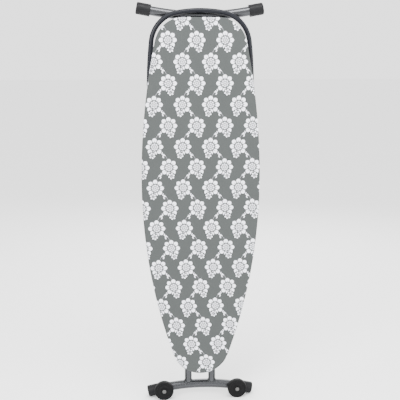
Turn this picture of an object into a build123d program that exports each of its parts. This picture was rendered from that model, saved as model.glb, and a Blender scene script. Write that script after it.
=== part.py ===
"""Folding ironing board with two crossed legs and two transport wheels.

The board stands folded on its wheels: tail up, nose down, ironing surface facing -Y, legs behind it.
Millimetres, +Z up, origin at the middle of the object's box on the floor.
Depths are counted from the ironing surface backwards, towards +Y.
"""
from build123d import *
from math import asin, atan2, cos, degrees, hypot, radians, sin, sqrt
import os

os.makedirs("parts", exist_ok=True)

# --- board top ---------------------------------------------------------------------------------
board_length = 1350
board_width = 440
tail_width = 292            # where the two side curves would meet the tail edge
widest_from_tail = 600
tail_corner_radius = 105
nose_radius = 110
cover_thickness = 1.2
padding_thickness = 5.3
skin_gap = 0.2              # between the cover and what it wraps
hem_width = 25
hem_corner_x = 62
hem_nose_joint_drop = 330
mesh_thickness = 0.6
rim_height = 8
rim_wall = 1.2
rim_flange = 10

# --- legs and feet -----------------------------------------------------------------------------
wheel_leg_radius = 14
wheel_leg_spacing = 93
tail_leg_radius = 15
foot_radius = 17
tube_wall = 1.2
tail_foot_length = 461      # cap to cap
tail_foot_bend = 950        # radius to which the tube is bent
tail_foot_straight = 58     # unbent end of the tube, under its cap
wheel_foot_length = 412
wheel_foot_bend = 800
wheel_foot_straight = 36
foot_past_nose = 64         # wheel foot below the nose, middle of the tube
foot_past_tail = 7.6
cap_radius = 22
tail_cap_length = 52
wheel_cap_length = 42
cap_end = 5
leg_gap = 1                 # between the hoop and the folded tail foot

# --- scissor mechanism -------------------------------------------------------------------------
pivot_arm = 440             # along the leg, from the crossing bolt to the leg pivot and to the crossbar
pivot_depth = 25.5
open_angle = 51             # each leg to the board, board at full height
pin_radius = 4
pin_head_radius = 6.5
pin_head_height = 2
running_gap = 0.05          # radial, round pins that turn
crossbar_radius = 5
crossbar_overhang = 6
eye_radius = 8.5            # round ends of the leg plates
plate_thickness = 4
plate_reach = 60
gusset_thickness = 3
gusset_x = 8.5
bolt_radius = 4
bolt_head_radius = 8
bolt_head_height = 4.5
nut_height = 5.5
spacer_radius = 8
bush_radius = 6.5
tie_from_nose = 120
tie_height = 25
tie_thickness = 2

# --- pivot brackets and cross braces -----------------------------------------------------------
brace_height = 6.8
brace_width = 34
brace_wall = 1.5
brace_from_rim = 15
tail_brace_from_tail = 115
buffer_brace_below_pivot = 220
middle_brace_below_pivot = 440
nose_brace_from_nose = 62
ear_thickness = 3
ear_side_gap = 0.3
bracket_base_width = 52
bracket_base_height = 21
bracket_base_thickness = 2
rivet_radius = 3
rivet_head_radius = 5
rivet_head_height = 1.8
rivet_spacing = 38
buffer_radius = 9
rest_gap = 0.3

# --- height rails, crossbar carriage and release lever -----------------------------------------
rail_x = 100
rail_wall = 1.5
rail_flange = 12
rail_depth_end = 36
rail_end = 26
roller_radius = 6
roller_flange_radius = 8.5
roller_side_gap = 0.2
roller_inside = 2.5          # flange and barrel on the inner side of the rail
roller_outside = 1.5
flange_gap = 0.5
notch_count = 6
notch_pitch = 24
notch_bite = 3
slot_end_gap = 3
clip_radius = 7.5
clip_thickness = 1.2
cheek_x = 80
cheek_thickness = 2
carriage_web_depth = 13
carriage_web_thickness = 1.8
lever_pivot_drop = 34
lever_length = 70
lever_wire_radius = 3
lever_arm_x = 72
lever_stub = 6              # beyond the cheek
lever_bend = 3
grip_radius = 6.5
grip_length = 130
spring_wire_radius = 0.7
spring_coil_radius = 6.3
spring_pitch = 1.8
spring_turns = 5

# --- tail hoop ---------------------------------------------------------------------------------
hoop_radius = 9
hoop_wall = 1.5
hoop_past_tail = 33.5       # outer edge of the hoop beyond the tail edge
hoop_width = 392            # over the ends of its arms
hoop_top_bend = 471
hoop_shoulder_bend = 116
hoop_arm_bend = 1341        # the arms bow outwards a little
hoop_arm_from_tail = 240
plug_length = 5
plug_shank = 14
plug_rounding = 4
plug_slack = 0.15
hoop_bracket_width = 24
hoop_bracket_thickness = 2.4
hoop_bracket_from_hem = 3
screw_inset = 7
screw_radius = 2.5
screw_head_radius = 4.5
screw_head_height = 2.6

# --- wheels ------------------------------------------------------------------------------------
wheel_radius = 37
wheel_width = 23
wheel_x = 143.5
wheel_back_gap = 0.6
tread_thickness = 9
tread_rounding = 4.3
web_recess = 2.5
web_thickness = 6
hub_radius = 11
saddle_radius = 17
hub_cap_radius = 7.5
hub_cap_height = 4.4
axle_head_radius = 6.5
axle_head_height = 4

# --- worked out from the sizes above -----------------------------------------------------------
mesh_depth = cover_thickness + padding_thickness
mesh_back = mesh_depth + mesh_thickness
rim_back = mesh_depth + rim_height
cover_depth = rim_back + skin_gap + cover_thickness
hoop_depth = cover_depth + skin_gap + hoop_radius
leg_depth = hoop_depth + hoop_radius + leg_gap + foot_radius
brace_back = mesh_back + brace_height
surface_y = -(leg_depth + cap_radius) / 2


def bend_drop(bend, run):
    """How far a tube bent to a radius falls away from its tangent over a run."""
    return bend - sqrt(bend**2 - run**2)


def cap_low(bend, straight, length):
    """How far the lowest point of a foot cap lies under the middle of its foot tube."""
    bend_x = length / 2 - straight
    slope = asin(bend_x / bend)
    end_drop = bend_drop(bend, bend_x) + straight * sin(slope) / cos(slope)
    return end_drop + (cap_radius - cap_end) * cos(slope) + cap_end * (1 - sin(slope))


wheel_foot_z = cap_low(wheel_foot_bend, wheel_foot_straight, wheel_foot_length)
nose_z = wheel_foot_z + foot_past_nose
tail_z = nose_z + board_length
widest_z = tail_z - widest_from_tail
tail_foot_z = tail_z + foot_past_tail
crossing_z = (wheel_foot_z + tail_foot_z) / 2
pivot_z = crossing_z + pivot_arm
crossbar_z = crossing_z - pivot_arm

crossing_offset = leg_depth - pivot_depth
fold_angle = degrees(atan2(crossing_offset, pivot_arm))
arm_length = hypot(pivot_arm, crossing_offset)
open_crossbar_z = pivot_z - 2 * arm_length * cos(radians(fold_angle + open_angle))

wheel_leg_x = wheel_leg_spacing / 2
leg_y = surface_y + leg_depth
pivot_y = surface_y + pivot_depth
hoop_y = surface_y + hoop_depth
hoop_x = hoop_width / 2 - hoop_radius
lever_pivot_z = crossbar_z - lever_pivot_drop
wheel_back = leg_depth - cap_radius - wheel_back_gap
wheel_front = wheel_back - wheel_width

tail_half_dip = (board_width - tail_width) / 2
tail_side_radius = (widest_from_tail**2 + tail_half_dip**2) / (2 * tail_half_dip)
nose_run = board_length - widest_from_tail
nose_side_radius = (board_width**2 / 4 + (nose_run - nose_radius) ** 2 - nose_radius**2) / (
    board_width - 2 * nose_radius
)


def at_depth(depth):
    """Plane facing the viewer at a depth behind the ironing surface; local y is up."""
    return Plane.XZ.offset(-(surface_y + depth))


def at_side(x):
    """Plane across the board at x; local x runs backwards, local y is up."""
    return Plane.YZ.offset(x)


def arc_about(centre, start, end):
    """The short arc from start to end about a centre."""
    toward = ((start - centre) + (end - centre)).normalized()
    middle = centre + toward * (start - centre).length
    return ThreePointArc((start.X, start.Y), (middle.X, middle.Y), (end.X, end.Y))


def board_face(inset, depth):
    """Face of the board's plan shape at a depth, moved inwards by inset. Its arcs meet in tangents."""
    tail_side = Vector(board_width / 2 - tail_side_radius, widest_z)
    nose_side = Vector(board_width / 2 - nose_side_radius, widest_z)
    nose = Vector(0, nose_z + nose_radius)
    corner_rise = tail_z - tail_corner_radius - widest_z
    corner_x = tail_side.X + sqrt((tail_side_radius - tail_corner_radius) ** 2 - corner_rise**2)
    corner = Vector(corner_x, tail_z - tail_corner_radius)
    to_corner = (corner - tail_side).normalized()
    to_nose = (nose - nose_side).normalized()
    tail_end = Vector(corner.X, tail_z - inset)
    shoulder = tail_side + to_corner * (tail_side_radius - inset)
    widest = Vector(board_width / 2 - inset, widest_z)
    nose_start = nose_side + to_nose * (nose_side_radius - inset)
    with BuildSketch(at_depth(depth)) as face:
        with BuildLine():
            Line((0, tail_z - inset), tail_end)
            arc_about(corner, tail_end, shoulder)
            arc_about(tail_side, shoulder, widest)
            arc_about(nose_side, widest, nose_start)
            arc_about(nose, nose_start, Vector(0, nose_z + inset))
            mirror(about=Plane.YZ)
        make_face()
    return face.sketch


def half_width(z):
    """Half the board's width at a height."""
    rise = z - widest_z
    bend = tail_side_radius if rise > 0 else nose_side_radius
    nose_rise = z - nose_z - nose_radius
    side = board_width / 2 - bend + sqrt(bend**2 - rise**2)
    if nose_rise < 0:
        return min(side, sqrt(nose_radius**2 - nose_rise**2))
    return side


def finish(part, name):
    """Names a finished piece and writes it."""
    part.label = name
    export_step(part, f"parts/{name}.step")


def finish_pair(part, name):
    """Writes a right-hand piece and its mirror image on the left."""
    finish(part, f"{name}_right")
    with BuildPart() as left:
        mirror(part, about=Plane.YZ)
    finish(left.part, f"{name}_left")


# --- cover: printed cotton over the padding, carried round the rim to a hem behind it ------------
with BuildPart() as cover:
    extrude(board_face(0, cover_thickness), amount=cover_thickness)
finish(cover.part, "ironing_cover")

hem_depth = cover_depth - cover_thickness
with BuildPart() as cover_edge:
    extrude(board_face(0, hem_depth), amount=hem_depth - cover_thickness)
    extrude(board_face(cover_thickness, hem_depth), amount=hem_depth - cover_thickness, mode=Mode.SUBTRACT)
finish(cover_edge.part, "cover_edge")



def hem_between(low_x, high_x, low_z, high_z):
    """The cover's turned hem behind the board, as far as it lies in one upright rectangle."""
    with BuildPart() as hem:
        extrude(board_face(0, cover_depth), amount=cover_thickness)
        extrude(board_face(hem_width, cover_depth), amount=cover_thickness, mode=Mode.SUBTRACT)
        with Locations(((low_x + high_x) / 2, 0, (low_z + high_z) / 2)):
            Box(high_x - low_x, board_width, high_z - low_z, mode=Mode.INTERSECT)
    return hem.part


# The hem is one strip of cloth, drawn in lengths that meet end to end.
hem_corner_z = tail_z - tail_corner_radius
hem_nose_joint_z = widest_z - hem_nose_joint_drop
finish(hem_between(-hem_corner_x, hem_corner_x, hem_corner_z, tail_z), "cover_hem_tail")
finish_pair(hem_between(hem_corner_x, board_width / 2, hem_corner_z, tail_z), "cover_hem_corner")
finish_pair(hem_between(0, board_width / 2, widest_z, hem_corner_z), "cover_hem_upper")
finish_pair(hem_between(0, board_width / 2, hem_nose_joint_z, widest_z), "cover_hem_side")
finish(hem_between(-board_width / 2, board_width / 2, nose_z, hem_nose_joint_z), "cover_hem_nose")

# --- padding: one sheet of felt and foam on the mesh -------------------------------------------
skin = cover_thickness + skin_gap
with BuildPart() as padding:
    extrude(board_face(skin, mesh_depth), amount=padding_thickness)
finish(padding.part, "padding")

# --- mesh top: expanded steel, drawn as a sheet, welded inside the rim ---------------------------
with BuildPart() as mesh_top:
    extrude(board_face(skin + rim_wall, mesh_back), amount=mesh_thickness)
finish(mesh_top.part, "mesh_top")

# --- rim: rolled steel edge with a flange turned in behind ---------------------------------------
with BuildPart() as rim:
    extrude(board_face(skin, rim_back), amount=rim_height)
    extrude(board_face(skin + rim_wall, rim_back - rim_wall), amount=rim_height - rim_wall, mode=Mode.SUBTRACT)
    extrude(board_face(skin + rim_flange, rim_back), amount=rim_wall, mode=Mode.SUBTRACT)
finish(rim.part, "top_rim")

# --- cross braces: steel channels welded across the mesh -----------------------------------------
brace_heights = [
    tail_z - tail_brace_from_tail,
    pivot_z,
    pivot_z - buffer_brace_below_pivot,
    pivot_z - middle_brace_below_pivot,
    nose_z + nose_brace_from_nose,
]
rivet_shifts = (-rivet_spacing / 2, rivet_spacing / 2)
rivet_offsets = [side * (wheel_leg_x + shift) for side in (-1, 1) for shift in rivet_shifts]
hem_edge = half_width(tail_z - tail_brace_from_tail + hoop_bracket_width / 2) - hem_width
hoop_screw_x = hem_edge - hoop_bracket_from_hem - screw_inset
hoop_bracket_x = hoop_screw_x - screw_inset
hoop_screw_heights = (tail_z - tail_brace_from_tail, pivot_z)
hoop_screw_places = [(side * hoop_screw_x, z) for side in (-1, 1) for z in hoop_screw_heights]
with BuildPart() as braces:
    for z in brace_heights:
        brace_half = min(half_width(z + brace_width / 2), half_width(z - brace_width / 2)) - brace_from_rim
        with BuildSketch(Plane.YZ):
            with Locations((surface_y + mesh_back + brace_height / 2, z)):
                Rectangle(brace_height, brace_width)
            with Locations((surface_y + mesh_back + (brace_height - brace_wall) / 2, z)):
                Rectangle(brace_height - brace_wall, brace_width - 2 * brace_wall, mode=Mode.SUBTRACT)
        extrude(amount=brace_half, both=True)
    with BuildSketch(at_depth(brace_back)):
        with Locations(*[(x, pivot_z) for x in rivet_offsets]):
            Circle(rivet_radius)
        with Locations(*hoop_screw_places):
            Circle(screw_radius)
    extrude(amount=brace_wall, mode=Mode.SUBTRACT)
finish(braces.part, "cross_braces")

# --- pivot brackets: a riveted base with two ears round each leg plate ---------------------------
bracket_back = brace_back + bracket_base_thickness
ear_inner = plate_thickness / 2 + ear_side_gap
with BuildPart() as bracket:
    with BuildSketch(at_depth(bracket_back)):
        with Locations((wheel_leg_x, pivot_z)):
            Rectangle(bracket_base_width, bracket_base_height)
        with Locations(*[(wheel_leg_x + shift, pivot_z) for shift in rivet_shifts]):
            Circle(rivet_radius, mode=Mode.SUBTRACT)
    extrude(amount=bracket_base_thickness)
    for side in (wheel_leg_x - ear_inner - ear_thickness, wheel_leg_x + ear_inner):
        with BuildSketch(at_side(side)):
            with Locations((pivot_y, pivot_z)):
                Circle(eye_radius)
            with Locations(((surface_y + brace_back + pivot_y) / 2, pivot_z)):
                Rectangle(pivot_depth - brace_back, 2 * eye_radius)
            with Locations((pivot_y, pivot_z)):
                Circle(pin_radius, mode=Mode.SUBTRACT)
        extrude(amount=ear_thickness)
finish_pair(bracket.part, "pivot_bracket")

# --- leg pivot pins: headed pins through the ears ------------------------------------------------
pin_half = ear_inner + ear_thickness
with BuildPart() as pivot_pin:
    with BuildSketch(at_side(wheel_leg_x - pin_half)):
        with Locations((pivot_y, pivot_z)):
            Circle(pin_radius)
    extrude(amount=2 * pin_half)
    for side in (-1, 1):
        with BuildSketch(at_side(wheel_leg_x + side * pin_half)):
            with Locations((pivot_y, pivot_z)):
                Circle(pin_head_radius)
        extrude(amount=side * pin_head_height)
finish_pair(pivot_pin.part, "leg_pivot_pin")

with BuildPart() as rivets:
    with BuildSketch(at_depth(bracket_back)):
        with Locations(*[(x, pivot_z) for x in rivet_offsets]):
            Circle(rivet_radius)
    extrude(amount=bracket_base_thickness + brace_wall)
    with BuildSketch(at_depth(bracket_back)):
        with Locations(*[(x, pivot_z) for x in rivet_offsets]):
            Circle(rivet_head_radius)
    extrude(amount=-rivet_head_height)
finish(rivets.part, "bracket_rivets")

# --- leg buffers: rubber studs that the folded wheel leg rests on --------------------------------
with BuildPart() as buffers:
    with BuildSketch(at_depth(brace_back)):
        with Locations(*[(side * wheel_leg_x, pivot_z - buffer_brace_below_pivot) for side in (-1, 1)]):
            Circle(buffer_radius)
    extrude(amount=-(leg_depth - wheel_leg_radius - rest_gap - brace_back))
finish(buffers.part, "leg_buffers")

# --- height rails: upright steel strips with a slot and height notches ---------------------------
rail_top = open_crossbar_z + rail_end
rail_bottom = crossbar_z - rail_end
rail_middle = (rail_top + rail_bottom) / 2
slot_radius = roller_radius + roller_side_gap
slot_travel = open_crossbar_z - crossbar_z + 2 * slot_end_gap
with BuildPart() as rail:
    with BuildSketch(at_side(rail_x)):
        with Locations((surface_y + (mesh_back + rail_depth_end) / 2, rail_middle)):
            Rectangle(rail_depth_end - mesh_back, rail_top - rail_bottom)
        with Locations((pivot_y, (open_crossbar_z + crossbar_z) / 2)):
            SlotCenterToCenter(slot_travel, 2 * slot_radius, rotation=90, mode=Mode.SUBTRACT)
        for notch in range(notch_count):
            with Locations((pivot_y - notch_bite, open_crossbar_z - notch * notch_pitch)):
                Circle(roller_radius, mode=Mode.SUBTRACT)
    extrude(amount=rail_wall)
    for front in (mesh_back, rail_depth_end - rail_wall):
        with BuildSketch(at_depth(front + rail_wall)):
            with Locations((rail_x + rail_flange / 2, rail_middle)):
                Rectangle(rail_flange, rail_top - rail_bottom)
        extrude(amount=rail_wall)
finish_pair(rail.part, "height_rail")

# --- tail hoop: bent tube under the rim, carried past the tail edge ------------------------------
hoop_top = tail_z + hoop_past_tail - hoop_radius
hoop_arm_end = tail_z - hoop_arm_from_tail
top_centre = Vector(0, hoop_top - hoop_top_bend)
arm_centre = Vector(hoop_x - hoop_arm_bend, hoop_arm_end)
top_reach = hoop_top_bend - hoop_shoulder_bend
arm_reach = hoop_arm_bend - hoop_shoulder_bend
centre_gap = (top_centre - arm_centre).length
gap_way = (top_centre - arm_centre).normalized()
along_gap = (arm_reach**2 - top_reach**2 + centre_gap**2) / (2 * centre_gap)
off_gap = sqrt(arm_reach**2 - along_gap**2)
shoulder_centre = arm_centre + gap_way * along_gap + Vector(-gap_way.Y, gap_way.X) * off_gap
top_meet = top_centre + (shoulder_centre - top_centre).normalized() * hoop_top_bend
arm_meet = arm_centre + (shoulder_centre - arm_centre).normalized() * hoop_arm_bend


def hoop_arm_x(z):
    """Where the middle of the hoop's right arm lies at a height."""
    return hoop_x - bend_drop(hoop_arm_bend, z - hoop_arm_end)


def mirrored(point):
    """The same point on the left."""
    return Vector(-point.X, point.Y)


with BuildPart() as hoop_core:
    with BuildLine(at_depth(hoop_depth)):
        arc_about(mirrored(arm_centre), Vector(-hoop_x, hoop_arm_end), mirrored(arm_meet))
        arc_about(mirrored(shoulder_centre), mirrored(arm_meet), mirrored(top_meet))
        arc_about(top_centre, mirrored(top_meet), top_meet)
        arc_about(shoulder_centre, top_meet, arm_meet)
        arc_about(arm_centre, arm_meet, Vector(hoop_x, hoop_arm_end))
    with BuildSketch(Plane.XY.offset(hoop_arm_end)):
        with Locations((-hoop_x, hoop_y)):
            Circle(hoop_radius)
    sweep()
with BuildPart() as hoop:
    add(hoop_core.part)
    ends = hoop.faces().filter_by(Axis.Z).group_by(Axis.Z)[0]
    offset(amount=-hoop_wall, openings=ends)
finish(hoop.part, "tail_hoop")

with BuildPart() as plugs:
    with BuildSketch(Plane.XY.offset(hoop_arm_end)):
        with Locations((-hoop_x, hoop_y), (hoop_x, hoop_y)):
            Circle(hoop_radius)
    extrude(amount=-plug_length)
    fillet(plugs.edges().group_by(Axis.Z)[0], radius=plug_rounding)
    with BuildSketch(Plane.XY.offset(hoop_arm_end)):
        with Locations((-hoop_x, hoop_y), (hoop_x, hoop_y)):
            Circle(hoop_radius - hoop_wall - plug_slack)
    extrude(amount=plug_shank)
finish(plugs.part, "hoop_plugs")

# --- hoop brackets: straps from the braces to the hoop's arms, the lower pair reaching up ---------
strap_front = cover_depth + skin_gap
strap_back = strap_front + hoop_bracket_thickness
with BuildPart() as straps:
    for x, z in hoop_screw_places:
        side = 1 if x > 0 else -1
        strap_low = z - hoop_bracket_width / 2
        strap_high = max(z, hoop_arm_end + hoop_bracket_width / 2) + hoop_bracket_width / 2
        grip_low = max(strap_low, hoop_arm_end + plug_length)
        with BuildSketch(at_depth(strap_back)):
            with BuildLine():
                Polyline(
                    (side * hoop_bracket_x, strap_low),
                    (side * (hoop_screw_x + screw_inset), strap_low),
                    (side * (hoop_arm_x(grip_low) - hoop_radius / 2), grip_low),
                    (side * (hoop_arm_x(strap_high) - hoop_radius / 2), strap_high),
                    (side * hoop_bracket_x, strap_high),
                    close=True,
                )
            make_face()
        extrude(amount=hoop_bracket_thickness)
        with BuildSketch(at_depth(strap_front)):
            with Locations((x, z)):
                Rectangle(2 * screw_inset, hoop_bracket_width)
        extrude(amount=strap_front - brace_back)
    with BuildSketch(at_depth(strap_back)):
        with Locations(*hoop_screw_places):
            Circle(screw_radius)
    extrude(amount=strap_back - brace_back, mode=Mode.SUBTRACT)
    add(hoop_core.part, mode=Mode.SUBTRACT)
finish(straps.part, "hoop_brackets")

with BuildPart() as screws:
    with BuildSketch(at_depth(strap_back)):
        with Locations(*hoop_screw_places):
            Circle(screw_radius)
    extrude(amount=strap_back - brace_back + brace_wall)
    with BuildSketch(at_depth(strap_back)):
        with Locations(*hoop_screw_places):
            Circle(screw_head_radius)
    extrude(amount=-screw_head_height)
finish(screws.part, "hoop_screws")


# --- feet: arched tubes with straight ends, and the ribbed caps on them --------------------------
tail_foot_shape = (tail_foot_z, 1, tail_foot_length, tail_foot_bend, tail_foot_straight)
wheel_foot_shape = (wheel_foot_z, -1, wheel_foot_length, wheel_foot_bend, wheel_foot_straight)


def foot_end(middle_z, rise, length, bend, straight):
    """End of the bend, outward direction and tip of a foot tube on the right; rise is +1 or -1."""
    bend_x = length / 2 - straight
    slope = asin(bend_x / bend)
    outward = Vector(cos(slope), 0, rise * sin(slope))
    bend_end = Vector(bend_x, leg_y, middle_z + rise * bend_drop(bend, bend_x))
    return bend_end, outward, bend_end + outward * (straight / cos(slope) - cap_end)


def foot_solid(shape, radius):
    """The foot tube's outer shape or bore, as a solid."""
    bend_end, outward, tip = foot_end(*shape)
    left_tip = (-tip.X, leg_y, tip.Z)
    left_bend_end = (-bend_end.X, leg_y, bend_end.Z)
    with BuildPart(mode=Mode.PRIVATE) as solid:
        with BuildLine():
            Line(left_tip, left_bend_end)
            ThreePointArc(left_bend_end, (0, leg_y, shape[0]), bend_end)
            Line(bend_end, tip)
        with BuildSketch(Plane(origin=left_tip, z_dir=(outward.X, 0, -outward.Z))):
            Circle(radius)
        sweep()
    return solid.part


def foot_cap(shape, cap_length):
    """Plastic cap pushed over the right end of a foot tube."""
    _, outward, tip = foot_end(*shape)
    mouth = Plane(origin=tip - outward * (cap_length - cap_end), z_dir=outward)
    with BuildPart() as cap:
        with BuildSketch(mouth):
            Circle(cap_radius)
        extrude(amount=cap_length)
        end_rim = cap.edges().sort_by(lambda edge: (edge.center() - mouth.origin).dot(outward))[-1]
        fillet(end_rim, radius=cap_end)
        with BuildSketch(mouth):
            Circle(foot_radius)
        extrude(amount=cap_length - cap_end, mode=Mode.SUBTRACT)
    return cap.part


wheel_foot_core = foot_solid(wheel_foot_shape, foot_radius)
with BuildPart() as wheel_foot:
    add(wheel_foot_core)
    add(foot_solid(wheel_foot_shape, foot_radius - tube_wall), mode=Mode.SUBTRACT)
    with BuildSketch(at_depth(leg_depth + 2 * foot_radius)):
        with Locations((-wheel_x, wheel_radius), (wheel_x, wheel_radius)):
            Circle(pin_radius)
    extrude(amount=4 * foot_radius, mode=Mode.SUBTRACT)
finish(wheel_foot.part, "wheel_foot_tube")
finish_pair(foot_cap(wheel_foot_shape, wheel_cap_length), "wheel_foot_cap")

tail_foot_core = foot_solid(tail_foot_shape, foot_radius)
with BuildPart() as tail_foot:
    add(tail_foot_core)
    add(foot_solid(tail_foot_shape, foot_radius - tube_wall), mode=Mode.SUBTRACT)
finish(tail_foot.part, "tail_foot_tube")
finish_pair(foot_cap(tail_foot_shape, tail_cap_length), "tail_foot_cap")

# --- wheel leg: two parallel tubes, slotted at the top for the hinge plates ----------------------
tube_top_gap = eye_radius
wheel_leg_top = pivot_z + tube_top_gap
plate_low = pivot_z - plate_reach
with BuildPart() as wheel_leg:
    with BuildSketch(Plane.XY.offset(wheel_foot_z)):
        with Locations((wheel_leg_x, leg_y)):
            Circle(wheel_leg_radius)
            Circle(wheel_leg_radius - tube_wall, mode=Mode.SUBTRACT)
    extrude(amount=wheel_leg_top - wheel_foot_z)
    with BuildSketch(at_side(wheel_leg_x - plate_thickness / 2)):
        with Locations((leg_y, (plate_low + wheel_leg_top) / 2)):
            Rectangle(2 * foot_radius, wheel_leg_top - plate_low + eye_radius)
    extrude(amount=plate_thickness, mode=Mode.SUBTRACT)
    with BuildSketch(at_side(0)):
        with Locations((leg_y, crossing_z)):
            Circle(bolt_radius)
    extrude(amount=2 * wheel_leg_x, mode=Mode.SUBTRACT)
    add(wheel_foot_core, mode=Mode.SUBTRACT)
finish_pair(wheel_leg.part, "wheel_leg_tube")

with BuildPart() as wheel_leg_plate:
    with BuildSketch(at_side(wheel_leg_x - plate_thickness / 2)):
        with Locations((pivot_y, pivot_z), (leg_y, pivot_z - eye_radius / 2), (leg_y, plate_low + eye_radius)):
            Circle(eye_radius)
        make_hull()
        with Locations((pivot_y, pivot_z)):
            Circle(pin_radius + running_gap, mode=Mode.SUBTRACT)
    extrude(amount=plate_thickness)
finish_pair(wheel_leg_plate.part, "wheel_leg_plate")

tie_z = nose_z + tie_from_nose
with BuildPart() as tie:
    with BuildSketch(at_depth(leg_depth + tie_thickness / 2)):
        with Locations((0, tie_z)):
            Rectangle(wheel_leg_spacing, tie_height)
    extrude(amount=tie_thickness)
    with BuildSketch(Plane.XY.offset(tie_z - tie_height)):
        with Locations((-wheel_leg_x, leg_y), (wheel_leg_x, leg_y)):
            Circle(wheel_leg_radius)
    extrude(amount=2 * tie_height, mode=Mode.SUBTRACT)
finish(tie.part, "wheel_leg_tie")

# --- crossing bolt: joins the two legs in the middle ---------------------------------------------
bolt_end = wheel_leg_x + wheel_leg_radius
with BuildPart() as bolt:
    with BuildSketch(at_side(-bolt_end)):
        with Locations((leg_y, crossing_z)):
            Circle(bolt_radius)
    extrude(amount=2 * bolt_end + bolt_head_height / 2)
    with BuildSketch(at_side(-bolt_end)):
        with Locations((leg_y, crossing_z)):
            Circle(bolt_head_radius)
    extrude(amount=-bolt_head_height)
    fillet(bolt.edges().group_by(Axis.X)[0], radius=bolt_head_height / 2)
finish(bolt.part, "crossing_bolt")

with BuildPart() as nut:
    with BuildSketch(at_side(bolt_end)):
        with Locations((leg_y, crossing_z)):
            Circle(bolt_head_radius)
    extrude(amount=nut_height)
    fillet(nut.edges().group_by(Axis.X)[-1], radius=bolt_head_height / 2)
    with BuildSketch(at_side(bolt_end)):
        with Locations((leg_y, crossing_z)):
            Circle(bolt_radius)
    extrude(amount=bolt_head_height / 2, mode=Mode.SUBTRACT)
finish(nut.part, "crossing_nut")

spacer_start = tail_leg_radius + ear_side_gap
spacer_end = wheel_leg_x - wheel_leg_radius
with BuildPart() as spacers:
    for side in (-1, 1):
        with BuildSketch(at_side(side * spacer_start)):
            with Locations((leg_y, crossing_z)):
                Circle(spacer_radius)
                Circle(bolt_radius, mode=Mode.SUBTRACT)
        extrude(amount=side * (spacer_end - spacer_start))
finish(spacers.part, "crossing_spacers")

with BuildPart() as bush:
    with BuildSketch(at_side(-tail_leg_radius)):
        with Locations((leg_y, crossing_z)):
            Circle(bush_radius)
            Circle(bolt_radius + running_gap, mode=Mode.SUBTRACT)
    extrude(amount=2 * tail_leg_radius)
finish(bush.part, "crossing_bush")

# --- wheels, their saddles, axles and hub caps ---------------------------------------------------
with BuildPart() as saddle:
    with BuildSketch(at_depth(leg_depth)):
        with Locations((wheel_x, wheel_radius)):
            Circle(saddle_radius)
    extrude(amount=leg_depth - wheel_back - wheel_back_gap / 2)
    with BuildSketch(at_depth(leg_depth)):
        with Locations((wheel_x, wheel_radius)):
            Circle(pin_radius)
    extrude(amount=leg_depth - wheel_front, mode=Mode.SUBTRACT)
    add(wheel_foot_core, mode=Mode.SUBTRACT)
finish_pair(saddle.part, "wheel_saddle")

axle_back = leg_depth + foot_radius
axle_front = wheel_front - hub_cap_height / 2
with BuildPart() as axle:
    with BuildSketch(at_depth(axle_back)):
        with Locations((wheel_x, wheel_radius)):
            Circle(pin_radius)
    extrude(amount=axle_back - axle_front)
    with BuildSketch(at_depth(axle_back)):
        with Locations((wheel_x, wheel_radius)):
            Circle(axle_head_radius)
    extrude(amount=-axle_head_height)
finish_pair(axle.part, "wheel_axle")

with BuildPart() as wheel:
    wheel_middle = surface_y + (wheel_front + wheel_back) / 2
    with BuildSketch(Plane(origin=(wheel_x, wheel_middle, wheel_radius), x_dir=(1, 0, 0), z_dir=(0, 0, 1))):
        with Locations((wheel_radius - tread_thickness / 2, 0)):
            RectangleRounded(tread_thickness, wheel_width, tread_rounding)
        web_middle = web_recess + (web_thickness - wheel_width) / 2
        with Locations((wheel_radius / 2 - tread_thickness / 4, web_middle)):
            Rectangle(wheel_radius - tread_thickness / 2, web_thickness)
        with Locations((hub_radius / 2, 0)):
            Rectangle(hub_radius, wheel_width)
        with Locations(((pin_radius + running_gap) / 2, 0)):
            Rectangle(pin_radius + running_gap, 2 * wheel_width, mode=Mode.SUBTRACT)
    revolve(axis=Axis((wheel_x, 0, wheel_radius), (0, 1, 0)))
finish_pair(wheel.part, "wheel")

cap_back = wheel_front - wheel_back_gap / 2
with BuildPart() as hub_cap:
    with BuildSketch(at_depth(cap_back)):
        with Locations((wheel_x, wheel_radius)):
            Circle(hub_cap_radius)
    extrude(amount=hub_cap_height)
    fillet(hub_cap.edges().group_by(Axis.Y)[0], radius=hub_cap_height / 2)
    with BuildSketch(at_depth(cap_back)):
        with Locations((wheel_x, wheel_radius)):
            Circle(pin_radius)
    extrude(amount=cap_back - axle_front, mode=Mode.SUBTRACT)
finish_pair(hub_cap.part, "hub_cap")

# --- tail leg: one tube between the wheel leg's tubes --------------------------------------------
tail_leg_end = crossbar_z - eye_radius
gusset_top = crossbar_z + plate_reach
with BuildPart() as tail_leg:
    with BuildSketch(Plane.XY.offset(tail_leg_end)):
        with Locations((0, leg_y)):
            Circle(tail_leg_radius)
            Circle(tail_leg_radius - tube_wall, mode=Mode.SUBTRACT)
    extrude(amount=tail_foot_z - tail_leg_end)
    for x in (-gusset_x, gusset_x):
        with BuildSketch(at_side(x - gusset_thickness / 2)):
            with Locations((leg_y - foot_radius / 2, (tail_leg_end + gusset_top) / 2)):
                Rectangle(2 * foot_radius, gusset_top - tail_leg_end + eye_radius)
        extrude(amount=gusset_thickness, mode=Mode.SUBTRACT)
    with BuildSketch(at_side(-tail_leg_radius)):
        with Locations((leg_y, crossing_z)):
            Circle(bush_radius)
    extrude(amount=2 * tail_leg_radius, mode=Mode.SUBTRACT)
    add(tail_foot_core, mode=Mode.SUBTRACT)
finish(tail_leg.part, "tail_leg_tube")

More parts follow.
